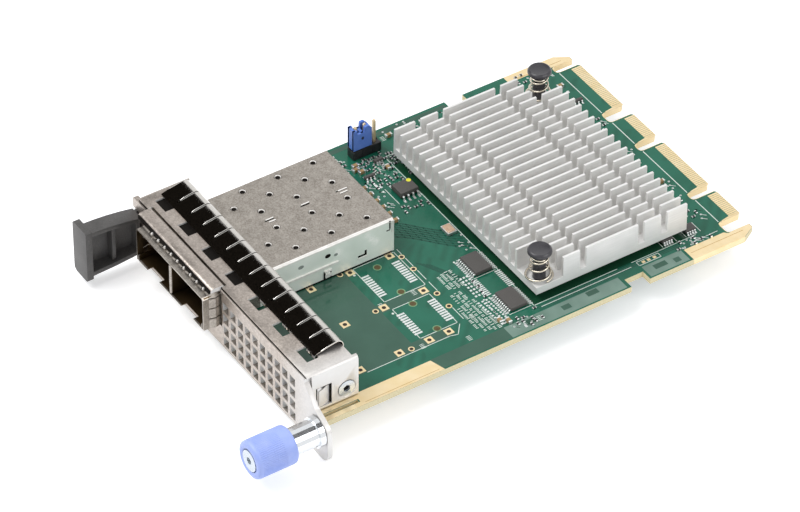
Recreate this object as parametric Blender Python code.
"""Ethernet adapter card: a small two-port network card for a slot in a server's rear panel.

The card is a green circuit board with a row of contact tabs at its rear edge. A steel faceplate
with an ear is folded round its front, a hood covers the space behind the faceplate and carries
a strip of spring fingers, and a two-port transceiver cage reaches through the faceplate. A finned
heatsink is held down by two sprung push pins. A plastic pull tab is at the left end of the
faceplate, and a captive spring-loaded thumbscrew is at the right end.

The origin is the centre of the board's underside. +X points towards the thumbscrew, +Y towards
the contact tabs at the rear, and +Z up, away from the board. Lengths are in metres.
"""
import math

import bmesh
import bpy
from mathutils import Matrix, Vector

MM = 0.001

# Clearances
GAP = 0.3 * MM                  # between pieces that touch
SOLDER = 0.15 * MM              # solder film under a surface-mounted part
HOLE_FIT = 0.3 * MM             # radial clearance of a fastener or pin in its hole
THREAD_FIT = 0.15 * MM          # radial clearance of a screw in its thread
RUN_FIT = 0.09 * MM             # radial clearance of a piece that turns or slides on another
STEP = 0.05 * MM                # set-back between faces of one piece that would else be level

# Circuit board
BOARD_W = 76.0 * MM
BOARD_T = 1.57 * MM
CONTACT_PITCH = 0.6 * MM
CONTACT_SHARES = (2, 1, 2, 1)   # contacts a side of each tab, against the smallest tab
TAB_MARGIN = 0.5 * MM           # board beyond the outer contacts of a tab
TAB_START = 5.5 * MM            # left board edge to the first tab
TAB_END = 7.1 * MM              # least room from the last tab to the right board edge
TAB_SLOTS = (3.65 * MM, 2.75 * MM, 2.6 * MM)
TAB_DEPTH = 6.4 * MM
TAB_BEVEL = 0.5 * MM
SLOT_ROUND = 0.8 * MM
HORN_SETBACK = 0.4 * MM         # the outer horns end short of the tabs
HORN_ROOT = 3.1 * MM            # width of a horn at its root
HORN_BEVEL = 2.0 * MM           # outer bevel of a horn, across the board
HORN_BEVEL_L = 3.4 * MM         # the same, along the board
NOTCH_Y = 82.6 * MM             # middle of the side notches, behind the board's front edge
NOTCH_L = 5.0 * MM
NOTCH_DEPTH = 2.8 * MM
NOTCH_SHIFT = 0.65 * MM         # the left notch lies this much nearer the rear
EDGE_SLIT_X = 1.8 * MM          # slit beside the faceplate flange, in from the board edge
EDGE_SLIT_W = 0.8 * MM
EDGE_SLIT_L = 9.3 * MM

# Transceiver cage
CAGE_IN = 23.2 * MM             # middle of the cage from the left board edge
CAGE_X = CAGE_IN - BOARD_W / 2
CAGE_W = 28.4 * MM
CAGE_H = 9.2 * MM               # board to roof, without the seating gap
CAGE_FRONT = -7.1 * MM          # front rim, from the board's front edge
CAGE_REAR = 42.5 * MM
CAGE_SHEET = 0.3 * MM
CAGE_BEND = 0.5 * MM
FINGER_START = 1.5 * MM         # behind the front rim
FINGER_PEAK = 3.0 * MM
FINGER_END = 4.5 * MM
FINGER_RISE = 0.4 * MM
FINGER_SLIT = 0.3 * MM
ROOF_FINGERS = 10
SIDE_FINGERS = 3
VENT_R = 0.95 * MM
VENT_COLUMNS = (-0.345, -0.05, 0.25)  # from a port's middle, against its inside width
VENT_ROWS = 3
VENT_FIRST = 19.1 * MM          # first row of the outer columns, behind the board's front edge
VENT_PITCH = 9.3 * MM
ROOF_SLOT_W = 0.45 * MM
ROOF_SLOT_L = 2.4 * MM
PIN_ROWS = (20.1 * MM, 30.3 * MM, 40.7 * MM)
PIN_W = 0.6 * MM
PIN_BELOW = 1.3 * MM            # cage pins stand this far out of the board's underside
PIN_HOLE_R = 0.55 * MM
SIDE_RIB_Y = (14.6 * MM, 27.9 * MM)
SIDE_RIB_Z = 3.6 * MM
SIDE_RIB_H = 0.35 * MM
SIDE_RIB_OUT = 0.25 * MM
BASE_REAR = 29.0 * MM
BASE_LIP = 1.6 * MM
LATCH_W = 5.2 * MM
LATCH_D = 1.4 * MM
DIVIDER_W = 0.9 * MM
PORT_W = (CAGE_W - DIVIDER_W) / 2 - CAGE_SHEET  # inside width of a port
PORT_PITCH = PORT_W + DIVIDER_W
SPARE_ROWS = (15.0 * MM, 25.1 * MM, 32.9 * MM, 38.0 * MM)
SPARE_GAP = 0.5 * MM            # between the cage and the empty footprint beside it
SPARE_EDGE = 2.0 * MM           # least board beside the empty footprint's outer pins

# Port connectors inside the cage
PLUG_SIDE = 1.3 * MM            # port's wall to the connector
PLUG_W = PORT_W - 2 * PLUG_SIDE
PLUG_D = 9.0 * MM
PLUG_H = 6.6 * MM
PLUG_Y = 31.2 * MM
PLUG_CHEEK = 0.7 * MM           # connector beside its card slot
PLUG_SLOT_W = PLUG_W - 2 * PLUG_CHEEK
PLUG_SLOT_H = 1.5 * MM
PLUG_SLOT_Z = 3.3 * MM
PLUG_SLOT_D = 6.0 * MM
PEG_IN = 0.6 * MM
PEG_PITCH = PLUG_W - 2 * PEG_IN
PEG_R = 0.7 * MM
PEG_Y = 36.35 * MM

# Faceplate
PLATE_FRONT = -2.7 * MM         # front face, from the board's front edge
PLATE_T = 1.2 * MM
PLATE_LEFT_IN = 0.3 * MM        # faceplate's left edge inside the board's
PLATE_LEFT = PLATE_LEFT_IN - BOARD_W / 2
PLATE_TOP = 10.3 * MM           # above the board's upper face
PLATE_BOTTOM = -5.9 * MM
EAR_OUT = 4.9 * MM              # ear beyond the board's right edge
EAR_RIGHT = BOARD_W / 2 + EAR_OUT
EAR_BOTTOM = -7.5 * MM
EAR_IN = 1.7 * MM
EAR_LEFT = BOARD_W / 2 - EAR_IN
OPENING_FIT = 0.5 * MM          # faceplate opening round the cage
VENT_HOLE_W = 2.1 * MM
VENT_HOLE_H = 2.3 * MM
VENT_HOLE_PITCH_X = 3.03 * MM
VENT_HOLE_PITCH_Z = 3.3 * MM
VENT_HOLE_ROWS = 4
VENT_HOLE_TOP = 6.1 * MM        # middle of the top row
VENT_WEB = 0.6 * MM             # between the port opening and the first column
VISOR_OUT = 2.4 * MM            # reach of the visor in front of the faceplate
VISOR_T = 1.0 * MM
VISOR_PAST = 2.2 * MM           # visor beyond the cage's left wall
VISOR_LEFT = CAGE_X - CAGE_W / 2 - VISOR_PAST
VISOR_ROUND = 0.7 * MM
FLANGE_T = 1.0 * MM
FLANGE_REAR = 9.9 * MM
FLANGE_ROOT = 2.4 * MM          # height of the fold that carries a flange
FOOT_W = 5.7 * MM
FOOT_FRONT = 3.6 * MM
FOOT_T = 1.0 * MM

# Hood
HOOD_T = 0.5 * MM
HOOD_TOP = 11.1 * MM            # above the board's upper face
HOOD_RIGHT_IN = 3.6 * MM        # hood's sides inside the board's edges
HOOD_LEFT_IN = 1.8 * MM
HOOD_RIGHT = BOARD_W / 2 - HOOD_RIGHT_IN
HOOD_LEFT = HOOD_LEFT_IN - BOARD_W / 2
HOOD_FRONT = -2.4 * MM
HOOD_REAR = 9.5 * MM
HOOD_SIDE_REAR = 10.6 * MM
HOOD_BEND = 1.0 * MM
SIDE_WINDOW_Y = (-0.2 * MM, 3.8 * MM)
SIDE_WINDOW_Z = (0.9 * MM, 6.7 * MM)
WINDOW_IN = 3.3 * MM            # first window from the hood's left side
WINDOW_FIRST = HOOD_LEFT + WINDOW_IN
WINDOW_PITCH = 9.77 * MM
WINDOW_W = 4.5 * MM
WINDOW_Y = (0.2 * MM, 3.2 * MM)

# Spring finger strip on the hood
STRIP_T = 0.2 * MM
STRIP_PITCH = 4.9 * MM
STRIP_IN = 2.3 * MM
STRIP_LEFT = HOOD_LEFT + STRIP_IN
STRIP_FOOT = 2.6 * MM
STRIP_SLIT_START = 5.4 * MM
STRIP_SLIT = 0.3 * MM
STRIP_PEAK = 7.6 * MM
STRIP_RISE = 1.1 * MM
STRIP_DROP = 1.3 * MM           # the rolled rear lip ends this far below its foot
HOOK_L = 1.6 * MM

# Side screws through hood and flange
SCREW_Y = 7.6 * MM
SCREW_Z = 3.1 * MM
SCREW_R = 1.1 * MM
SCREW_HEAD_R = 2.1 * MM
SCREW_L = 3.4 * MM
SOCKET_R = 0.95 * MM
SOCKET_D = 0.6 * MM

# Screws that hold the flange feet from below
FOOT_SCREW_R = 1.1 * MM
FOOT_SCREW_HEAD_R = 2.2 * MM
FOOT_SCREW_HEAD_H = 1.3 * MM
FOOT_SCREW_END = 0.3 * MM        # the screw stands this far out of the foot
FOOT_SCREW_Y = 6.0 * MM

# Pull tab
TAB_W = 4.0 * MM
TAB_WALL = 1.1 * MM
TAB_IN = 0.5 * MM
TAB_X = TAB_IN - BOARD_W / 2    # outer face of the web
TAB_ARM = 13.6 * MM             # reach of the arm in front of the faceplate
TAB_ROOT_TOP = 7.1 * MM
TAB_ROOT_BOTTOM = -3.0 * MM
TAB_TIP_TOP = 8.6 * MM
TAB_TIP_BOTTOM = -4.0 * MM
TAB_BOW = 0.35 * MM
GRIP_T = 1.6 * MM
GRIP_W = 5.8 * MM
GRIP_TOP = 9.0 * MM
GRIP_BOTTOM = -5.2 * MM
GRIP_ROUND = 0.6 * MM
TAB_RIB_Y = 7.2 * MM            # middle of the rib, in front of the faceplate
TAB_RIB_T = 0.9 * MM
TAB_FOOT_T = 1.0 * MM
TAB_FOOT_TOP = 6.6 * MM

# Thumbscrew
THUMB_OUT = 1.4 * MM            # axis beyond the board's right edge
THUMB_X = BOARD_W / 2 + THUMB_OUT
THUMB_Z = 0.0 * MM              # above the board's upper face
KNOB_R = 4.5 * MM
KNOB_L = 10.5 * MM
KNOB_REAR = 7.1 * MM            # rear rim of the knob, in front of the faceplate
THUMB_TRAVEL = 4.2 * MM         # the knob can be pushed this far towards the faceplate
KNOB_COLLAR = 2.6 * MM
KNOB_GROOVES = 24
KNOB_GROOVE_D = 0.2 * MM
KNOB_CHAMFER = 0.6 * MM
FERRULE_R = 3.2 * MM
FERRULE_RING_R = 3.6 * MM
FERRULE_RING_T = 1.3 * MM
FERRULE_LIP = 0.7 * MM          # overlap of ferrule and knob at rest
FERRULE_NECK_R = 2.0 * MM
FERRULE_FLARE = 0.55 * MM       # the riveted end widens by this much in the ear's countersink
SPRING_WELL_R = 2.7 * MM
SPRING_WELL_END = 2.1 * MM      # bottom of the spring well, in front of the faceplate
THUMB_SCREW_R = 1.25 * MM
THUMB_TIP = 0.2 * MM            # the retracted tip lies this far inside the ear's rear face
THUMB_HEAD_R = 2.6 * MM
THUMB_HEAD_L = 2.4 * MM
THUMB_WASHER_T = 0.5 * MM
THUMB_SPRING_WIRE = 0.4 * MM
THUMB_SPRING_R = 2.1 * MM
THUMB_SPRING_TURNS = 6

# Heatsink
SINK_X = 1.5 * MM
SINK_PAST = 17.25 * MM          # cage's rear to heatsink's front
SINK_L = 40.7 * MM
SINK_AHEAD = 14.55 * MM         # heatsink's rear to the board's rear edge
SINK_Y = CAGE_REAR + SINK_PAST + SINK_L / 2
BOARD_L = CAGE_REAR + SINK_PAST + SINK_L + SINK_AHEAD  # 115 mm
SINK_Z = 1.6 * MM               # underside of the base, above the board
SINK_BASE_T = 2.05 * MM
SINK_TOP = 9.0 * MM
FIN_COUNT = 23
FIN_T = 0.95 * MM
FIN_PITCH = 2.577 * MM
CUT_W = 1.65 * MM
CUTS_FROM_END = (6.3 * MM, 12.5 * MM)
CORNER_FINS = 3                 # fins cut short at a push pin's corner

# Push pins
PUSH_HEAD_R = 2.8 * MM
PUSH_HEAD_T = 1.5 * MM
PUSH_TOP = 11.8 * MM
PUSH_R = 1.7 * MM
PUSH_SHANK_R = 1.2 * MM
PUSH_BARB_R = 1.9 * MM
PUSH_BARB_L = 2.4 * MM
PUSH_SPLIT = 0.6 * MM
COIL_WIRE = 0.5 * MM
COIL_TOP_R = 2.2 * MM
COIL_BOTTOM_R = 2.95 * MM
COIL_TURNS = 3.5

# Controller under the heatsink
CHIP_W = 21.0 * MM
CHIP_T = 0.8 * MM
PAD_W = 18.0 * MM
PAD_T = 0.3 * MM

# Jumper header and shunt
HEADER_IN = 5.3 * MM
HEADER_X = HEADER_IN - BOARD_W / 2
HEADER_Y = 55.4 * MM            # middle pin, behind the board's front edge
HEADER_PITCH = 2.54 * MM
HEADER_W = 2.6 * MM
HEADER_H = 2.4 * MM
HEADER_PIN_W = 0.64 * MM
HEADER_PIN_TOP = 8.8 * MM
HEADER_PIN_BELOW = 1.4 * MM
HEADER_BORE = 1.24 * MM
SHUNT_L = 4.9 * MM
SHUNT_H = 6.0 * MM

# Leaded chips
LEAD_W = 0.3 * MM
LEAD_T = 0.2 * MM
LEAD_RISE = 0.55 * MM
LEAD_FOOT = 0.5 * MM
LEAD_REACH = 1.0 * MM
DRIVER_PITCH = 0.65 * MM
DRIVER_LEADS = 10
DRIVER_ROW_L = 6.6 * MM
DRIVER_DEPTH = 4.4 * MM
DRIVER_H = 1.0 * MM
DRIVER_SPACING = 14.0 * MM
DRIVER_IN = 10.6 * MM           # right chip's middle from the right board edge
DRIVER_AHEAD = 4.65 * MM        # chips' middles in front of the heatsink
MEMORY_PITCH = 1.27 * MM
MEMORY_LEADS = 4
MEMORY_ROW_L = 4.9 * MM
MEMORY_DEPTH = 4.1 * MM
MEMORY_H = 1.5 * MM
MEMORY_AHEAD = 3.95 * MM
MEMORY_OFF = 1.6 * MM           # left of the cage's middle
MEMORY_X = CAGE_X - MEMORY_OFF

# Small surface-mounted parts
OSCILLATOR = (3.2 * MM, 2.5 * MM, 0.9 * MM)
OSCILLATOR_OFF = 1.1 * MM       # left of the heatsink's middle
OSCILLATOR_X = SINK_X - OSCILLATOR_OFF
OSCILLATOR_AHEAD = 3.25 * MM
REGULATOR = (2.9 * MM, 2.9 * MM, 0.9 * MM)
REGULATOR_IN = 8.8 * MM         # right regulators' middles from the right board edge
REGULATOR_AHEAD = (19.65 * MM, 13.25 * MM)  # and from the rear board edge
REGULATOR_LEFT_IN = 16.8 * MM
REGULATOR_LEFT_AHEAD = 8.45 * MM
TRANSISTOR = (1.4 * MM, 2.8 * MM, 0.9 * MM)
TRANSISTOR_OFF = (8.2 * MM, -3.9 * MM)  # from the header's middle
GATE = (1.6 * MM, 2.4 * MM, 0.9 * MM)
GATE_OFF = (4.4 * MM, 0.9 * MM)
CAP_SIZE = (1.6 * MM, 0.8 * MM, 0.8 * MM)
RESISTOR_SIZE = (1.0 * MM, 0.5 * MM, 0.4 * MM)
CAP_ROW_PITCH = 2.6 * MM
CAP_ROW_COUNT = 6
CAP_ROWS = (3.3 * MM, 5.7 * MM)  # capacitor rows behind the cage
EDGE_CAP_IN = 3.4 * MM          # capacitor column from the left board edge
EDGE_CAP_PITCH = 3.1 * MM
EDGE_CAP_COUNT = 5
HEADER_CAPS = ((3.2 * MM, -4.6 * MM), (4.5 * MM, -5.3 * MM), (5.7 * MM, -4.4 * MM), (7.6 * MM, 1.5 * MM))
FILTER_IN = (5.2 * MM, 6.3 * MM)  # two filter capacitors from the right board edge
FILTER_AHEAD = 9.0 * MM
MEMORY_RESISTOR = (6.5 * MM, 1.8 * MM)  # right of the memory chip, in front of the heatsink
REAR_CAPS = ((8.1 * MM, 12.2 * MM), (10.1 * MM, 8.7 * MM))  # from the left and the rear board edge
TERMINATOR_IN = (25.4 * MM, 24.1 * MM, 23.0 * MM)  # a capacitor and two resistors, from the right
TERMINATOR_AHEAD = (8.9 * MM, 9.0 * MM, 10.1 * MM)
UNDER_GRID = 4
UNDER_PITCH = 4.2 * MM

ROUND_STEPS = 3                 # straight pieces in a quarter round
FRONT = -BOARD_L / 2
TOP = BOARD_T


def behind(distance):
    """World Y of a point this far behind the board's front edge."""
    return FRONT + distance


def above(height):
    """World Z of a point this far above the board's upper face."""
    return TOP + height


def clear_scene():
    for old in list(bpy.data.objects):
        bpy.data.objects.remove(old, do_unlink=True)


def finish_material(name, colour, roughness, metallic):
    material = bpy.data.materials.new(name)
    material.use_nodes = True
    shader = material.node_tree.nodes["Principled BSDF"]
    shader.inputs["Base Color"].default_value = (*colour, 1.0)
    shader.inputs["Roughness"].default_value = roughness
    shader.inputs["Metallic"].default_value = metallic
    return material


def make_object(name, shape, material, origin=Vector((0.0, 0.0, 0.0))):
    """Turns a mesh under construction into a named object with one material. A moving piece
    has its origin on its joint's axis."""
    bmesh.ops.recalc_face_normals(shape, faces=shape.faces[:])
    bmesh.ops.translate(shape, verts=shape.verts[:], vec=-origin)
    mesh = bpy.data.meshes.new(name)
    shape.to_mesh(mesh)
    shape.free()
    mesh.materials.append(material)
    part = bpy.data.objects.new(name, mesh)
    part.location = origin
    bpy.context.collection.objects.link(part)
    return part


def smooth(part, degrees=35.0):
    part.data.shade_smooth()
    part.data.set_sharp_from_angle(angle=math.radians(degrees))
    return part


def on_plane(plane, u, v, w):
    """Places a drawing's point (u, v) at height w above the named plane."""
    if plane == "XY":
        return Vector((u, v, w))
    if plane == "XZ":
        return Vector((u, w, v))
    return Vector((w, u, v))


def rounded(corners):
    """Replaces each corner (u, v, radius) by an arc, and keeps corners of no radius sharp."""
    points = []
    for index, corner in enumerate(corners):
        here = Vector(corner[:2])
        radius = corner[2] if len(corner) > 2 else 0.0
        if radius == 0.0:
            points.append(here)
            continue
        before = (Vector(corners[index - 1][:2]) - here).normalized()
        after = (Vector(corners[(index + 1) % len(corners)][:2]) - here).normalized()
        half = before.angle(after) / 2
        start = here + before * radius / math.tan(half)
        end = here + after * radius / math.tan(half)
        centre = here + (before + after).normalized() * radius / math.sin(half)
        sweep = (start - centre).angle_signed(end - centre)
        for step in range(ROUND_STEPS + 1):
            turn = Matrix.Rotation(-sweep * step / ROUND_STEPS, 2)
            points.append(centre + turn @ (start - centre))
    return points


def ring(u, v, radius, sides):
    """Corners of a round hole or post."""
    return [Vector((u + radius * math.cos(math.tau * (k + 0.5) / sides),
                    v + radius * math.sin(math.tau * (k + 0.5) / sides))) for k in range(sides)]


def rectangle(low_u, low_v, high_u, high_v):
    return [Vector(p) for p in ((low_u, low_v), (high_u, low_v), (high_u, high_v), (low_u, high_v))]


def prism(shape, outline, low, high, plane="XY", holes=()):
    """Adds a flat piece of the given outline, with holes through it, between two heights."""
    edges = []
    for loop in (outline, *holes):
        corners = [shape.verts.new(on_plane(plane, p[0], p[1], low)) for p in loop]
        edges += [shape.edges.new((corners[k - 1], corners[k])) for k in range(len(corners))]
    filled = bmesh.ops.triangle_fill(shape, use_beauty=True, edges=edges)
    faces = [item for item in filled["geom"] if isinstance(item, bmesh.types.BMFace)]
    lifted = bmesh.ops.extrude_face_region(shape, geom=faces, use_keep_orig=True)
    top = [item for item in lifted["geom"] if isinstance(item, bmesh.types.BMVert)]
    bmesh.ops.translate(shape, verts=top, vec=on_plane(plane, 0.0, 0.0, high - low))
    return shape


def block(shape, low, high):
    """Adds a box between two opposite corners."""
    prism(shape, rectangle(low[0], low[1], high[0], high[1]), low[2], high[2])


def turned(shape, profile, middle, axis, sides):
    """Adds a solid turned from (radius, distance along the axis) pairs, closed on the axis
    or back on its own start."""
    lathe = {"X": Matrix.Rotation(math.pi / 2, 4, "Y"),
             "Y": Matrix.Rotation(-math.pi / 2, 4, "X"), "Z": Matrix.Identity(4)}[axis]
    hollow = profile[0][0] > 0.0
    rings = []
    for radius, along in profile:
        if radius == 0.0:
            rings.append([shape.verts.new(middle + lathe @ Vector((0.0, 0.0, along)))] * sides)
            continue
        rings.append([shape.verts.new(middle + lathe @ Vector((
            radius * math.cos(math.tau * k / sides), radius * math.sin(math.tau * k / sides),
            along))) for k in range(sides)])
    count = len(rings) if hollow else len(rings) - 1
    for index in range(count):
        near, far = rings[index], rings[(index + 1) % len(rings)]
        for k in range(sides):
            corners = []
            for vertex in (near[k], near[(k + 1) % sides], far[(k + 1) % sides], far[k]):
                if vertex not in corners:
                    corners.append(vertex)
            if len(corners) > 2:
                shape.faces.new(corners)


def coil(shape, middle, axis, length, start_radius, end_radius, turns, wire, sides=5, steps=12):
    """Adds a coil spring of round wire between two heights along its axis."""
    lathe = {"Y": Matrix.Rotation(-math.pi / 2, 4, "X"), "Z": Matrix.Identity(4)}[axis]
    count = int(turns * steps)
    rings = []
    for index in range(count + 1):
        share = index / count
        angle = math.tau * turns * share
        radius = start_radius + (end_radius - start_radius) * share
        outward = Vector((math.cos(angle), math.sin(angle), 0.0))
        centre = outward * radius + Vector((0.0, 0.0, wire / 2 + (length - wire) * share))
        rings.append([shape.verts.new(middle + lathe @ (centre
                      + outward * wire / 2 * math.cos(math.tau * k / sides)
                      + Vector((0.0, 0.0, wire / 2 * math.sin(math.tau * k / sides)))))
                      for k in range(sides)])
    for near, far in zip(rings, rings[1:]):
        for k in range(sides):
            shape.faces.new((near[k], near[(k + 1) % sides], far[(k + 1) % sides], far[k]))
    shape.faces.new(rings[0])
    shape.faces.new(rings[-1])


def combine(part, operation, tool_shape):
    """Adds a tool's solids to a part, or cuts them out of it, and keeps the result as its mesh."""
    tool = make_object(part.name + "_tool", tool_shape, part.data.materials[0])
    modifier = part.modifiers.new("tool", "BOOLEAN")
    modifier.operation = operation
    modifier.object = tool
    depsgraph = bpy.context.evaluated_depsgraph_get()
    result = bpy.data.meshes.new_from_object(part.evaluated_get(depsgraph))
    part.modifiers.clear()
    part.data = result
    bpy.data.objects.remove(tool, do_unlink=True)
    return part


def thicken(part, thickness, offset):
    """Gives a folded sheet its thickness: offset 1 outwards, -1 inwards."""
    modifier = part.modifiers.new("sheet", "SOLIDIFY")
    modifier.thickness = thickness
    modifier.offset = offset
    modifier.use_even_offset = True
    depsgraph = bpy.context.evaluated_depsgraph_get()
    result = bpy.data.meshes.new_from_object(part.evaluated_get(depsgraph))
    part.modifiers.clear()
    part.data = result
    return part


# Places that several pieces share

def port_centres():
    return (CAGE_X - PORT_PITCH / 2, CAGE_X + PORT_PITCH / 2)


def cage_walls():
    """Middle planes of the cage's left wall, divider and right wall."""
    half = (CAGE_W - CAGE_SHEET) / 2
    return (CAGE_X - half, CAGE_X, CAGE_X + half)


def spare_wall():
    """Outer pins of the second, empty cage footprint beside the first."""
    return CAGE_X + 1.5 * CAGE_W + SPARE_GAP


def has_spare_footprint():
    return spare_wall() + SPARE_EDGE < BOARD_W / 2


def sink_front():
    """Distance of the heatsink's front behind the board's front edge."""
    return SINK_Y - SINK_L / 2


def sink_rear():
    return SINK_Y + SINK_L / 2


def sink_cuts():
    """Middles of the heatsink's cross cuts, behind the board's front edge."""
    return (*(sink_front() + cut for cut in CUTS_FROM_END),
            *(sink_rear() - cut for cut in reversed(CUTS_FROM_END)))


def push_pin_places():
    """Middle of the two heatsink corners where the fins are cut short."""
    half_w = sink_width() / 2
    in_x = (CORNER_FINS * FIN_PITCH - FIN_PITCH + FIN_T) / 2
    in_y = (CUTS_FROM_END[0] - CUT_W / 2) / 2
    return (Vector((SINK_X + half_w - in_x, behind(sink_front() + in_y), 0.0)),
            Vector((SINK_X - half_w + in_x, behind(sink_rear() - in_y), 0.0)))


def sink_width():
    return FIN_PITCH * (FIN_COUNT - 1) + FIN_T


def header_pins():
    return [(HEADER_X, behind(HEADER_Y + HEADER_PITCH * k)) for k in (-1, 0, 1)]


def flange_faces():
    """Outer faces of the two flanges, just inside the hood's side plates."""
    return (HOOD_LEFT + HOOD_T + GAP, HOOD_RIGHT - HOOD_T - GAP)


def foot_screw_places():
    left, right = flange_faces()
    inset = FOOT_W / 2
    return ((left + inset, behind(FOOT_SCREW_Y)), (right - inset, behind(FOOT_SCREW_Y)))


def chip_middle():
    return SINK_X, behind(SINK_Y)


# Circuit board

def contact_counts():
    """Contacts a side of each tab: as many as the board's width has room for."""
    room = (BOARD_W - TAB_START - TAB_END - sum(TAB_SLOTS)
            - 2 * TAB_MARGIN * len(CONTACT_SHARES))
    unit = int(room / CONTACT_PITCH / sum(CONTACT_SHARES) + 0.01)
    return [unit * share for share in CONTACT_SHARES]


def tab_edges():
    """Left and right edge of each contact tab."""
    edges = []
    x = -BOARD_W / 2 + TAB_START
    for index, count in enumerate(contact_counts()):
        width = count * CONTACT_PITCH + 2 * TAB_MARGIN
        edges.append((x, x + width))
        if index < len(TAB_SLOTS):
            x += width + TAB_SLOTS[index]
    return edges


def board_outline():
    half = BOARD_W / 2
    rear = behind(BOARD_L)
    floor = rear - TAB_DEPTH
    tip = rear - HORN_SETBACK
    corners = [(-half, FRONT)]
    for side in (-1, 1):
        middle = side * (half - EDGE_SLIT_X)
        slit = [(middle - EDGE_SLIT_W / 2, FRONT), (middle - EDGE_SLIT_W / 2, FRONT + EDGE_SLIT_L),
                (middle + EDGE_SLIT_W / 2, FRONT + EDGE_SLIT_L), (middle + EDGE_SLIT_W / 2, FRONT)]
        corners += slit
    corners.append((half, FRONT))
    low, high = behind(NOTCH_Y - NOTCH_L / 2), behind(NOTCH_Y + NOTCH_L / 2)
    corners += [(half, low), (half - NOTCH_DEPTH, low), (half - NOTCH_DEPTH, high), (half, high)]
    corners += [(half, tip - HORN_BEVEL_L), (half - HORN_BEVEL, tip), (half - HORN_ROOT, tip),
                (half - HORN_ROOT, floor, SLOT_ROUND)]
    for left, right in reversed(tab_edges()):
        corners += [(right, floor, SLOT_ROUND), (right, rear - TAB_BEVEL),
                    (right - TAB_BEVEL, rear), (left + TAB_BEVEL, rear),
                    (left, rear - TAB_BEVEL), (left, floor, SLOT_ROUND)]
    corners += [(HORN_ROOT - half, floor, SLOT_ROUND), (HORN_ROOT - half, tip),
                (HORN_BEVEL - half, tip), (-half, tip - HORN_BEVEL_L)]
    low, high = low + NOTCH_SHIFT, high + NOTCH_SHIFT
    corners += [(-half, high), (NOTCH_DEPTH - half, high), (NOTCH_DEPTH - half, low), (-half, low)]
    return rounded(corners)


def board_holes():
    holes = []
    for x in cage_walls():
        holes += [(x, behind(y), PIN_HOLE_R) for y in PIN_ROWS]
    ports = port_centres()
    if has_spare_footprint():
        offset = CAGE_W + SPARE_GAP
        holes += [(CAGE_X + offset, behind(y), PIN_HOLE_R) for y in PIN_ROWS]
        holes += [(spare_wall(), behind(y), PIN_HOLE_R) for y in SPARE_ROWS]
        ports += tuple(x + offset for x in ports)
    for x in ports:
        holes += [(x + side * PEG_PITCH / 2, behind(PEG_Y), PEG_R + HOLE_FIT / 2) for side in (-1, 1)]
    holes += [(pin.x, pin.y, PUSH_SHANK_R + HOLE_FIT) for pin in push_pin_places()]
    holes += [(x, y, FOOT_SCREW_R + HOLE_FIT) for x, y in foot_screw_places()]
    holes += [(x, y, HEADER_PIN_W / math.sqrt(2) + HOLE_FIT / 2) for x, y in header_pins()]
    return holes


def capacitor_places():
    """(x, distance behind the front edge, turned by 90 degrees) of each ceramic capacitor."""
    places = [(HEADER_X + x, HEADER_Y + y, y < 0.0) for x, y in HEADER_CAPS]
    for k in range(CAP_ROW_COUNT):
        x = CAGE_X + CAP_ROW_PITCH * (k - CAP_ROW_COUNT / 2)
        places.append((x, CAGE_REAR + CAP_ROWS[0], False))
        places.append((x + CAP_SIZE[1], CAGE_REAR + CAP_ROWS[1], True))
    for k in range(EDGE_CAP_COUNT):
        places.append((EDGE_CAP_IN - BOARD_W / 2, sink_front() + EDGE_CAP_IN + EDGE_CAP_PITCH * k, True))
    for k, x in enumerate(FILTER_IN):
        places.append((BOARD_W / 2 - x, sink_front() - FILTER_AHEAD - CAP_SIZE[0] * k, False))
    places += [(x - BOARD_W / 2, BOARD_L - y, True) for x, y in REAR_CAPS]
    places.append((BOARD_W / 2 - TERMINATOR_IN[0], BOARD_L - TERMINATOR_AHEAD[0], True))
    return places


def resistor_places():
    """One piece beside the memory chip and two near the contact tabs."""
    places = [(MEMORY_X + MEMORY_RESISTOR[0], sink_front() - MEMORY_RESISTOR[1], False)]
    for x, y in zip(TERMINATOR_IN[1:], TERMINATOR_AHEAD[1:]):
        places.append((BOARD_W / 2 - x, BOARD_L - y, True))
    return places


def underside_places():
    """A square grid of capacitors below the controller."""
    offset = (UNDER_GRID - 1) / 2
    return [(SINK_X + (i - offset) * UNDER_PITCH + UNDER_PITCH * 0.3,
             SINK_Y + (j - offset) * UNDER_PITCH, j % 2 == 0)
            for i in range(UNDER_GRID) for j in range(UNDER_GRID)]


def soldered_parts():
    """The small parts soldered flat on the board, as one set of boxes sunk a little into it."""
    shape = bmesh.new()
    for places, size, under in ((capacitor_places(), CAP_SIZE, False),
                                (resistor_places(), RESISTOR_SIZE, False),
                                (underside_places(), CAP_SIZE, True)):
        for x, distance, quarter in places:
            half_x, half_y = (size[1] / 2, size[0] / 2) if quarter else (size[0] / 2, size[1] / 2)
            low, high = (-size[2], SOLDER) if under else (TOP - SOLDER, above(size[2]))
            y = behind(distance)
            block(shape, (x - half_x, y - half_y, low), (x + half_x, y + half_y, high))
    return shape


def circuit_board(material):
    shape = bmesh.new()
    loops = [ring(x, y, radius, 10 if radius > PIN_HOLE_R * 1.5 else 8)
             for x, y, radius in board_holes()]
    prism(shape, board_outline(), 0.0, BOARD_T, holes=loops)
    return combine(make_object("circuit_board", shape, material), "UNION", soldered_parts())


# Heatsink and its fixings

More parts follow.
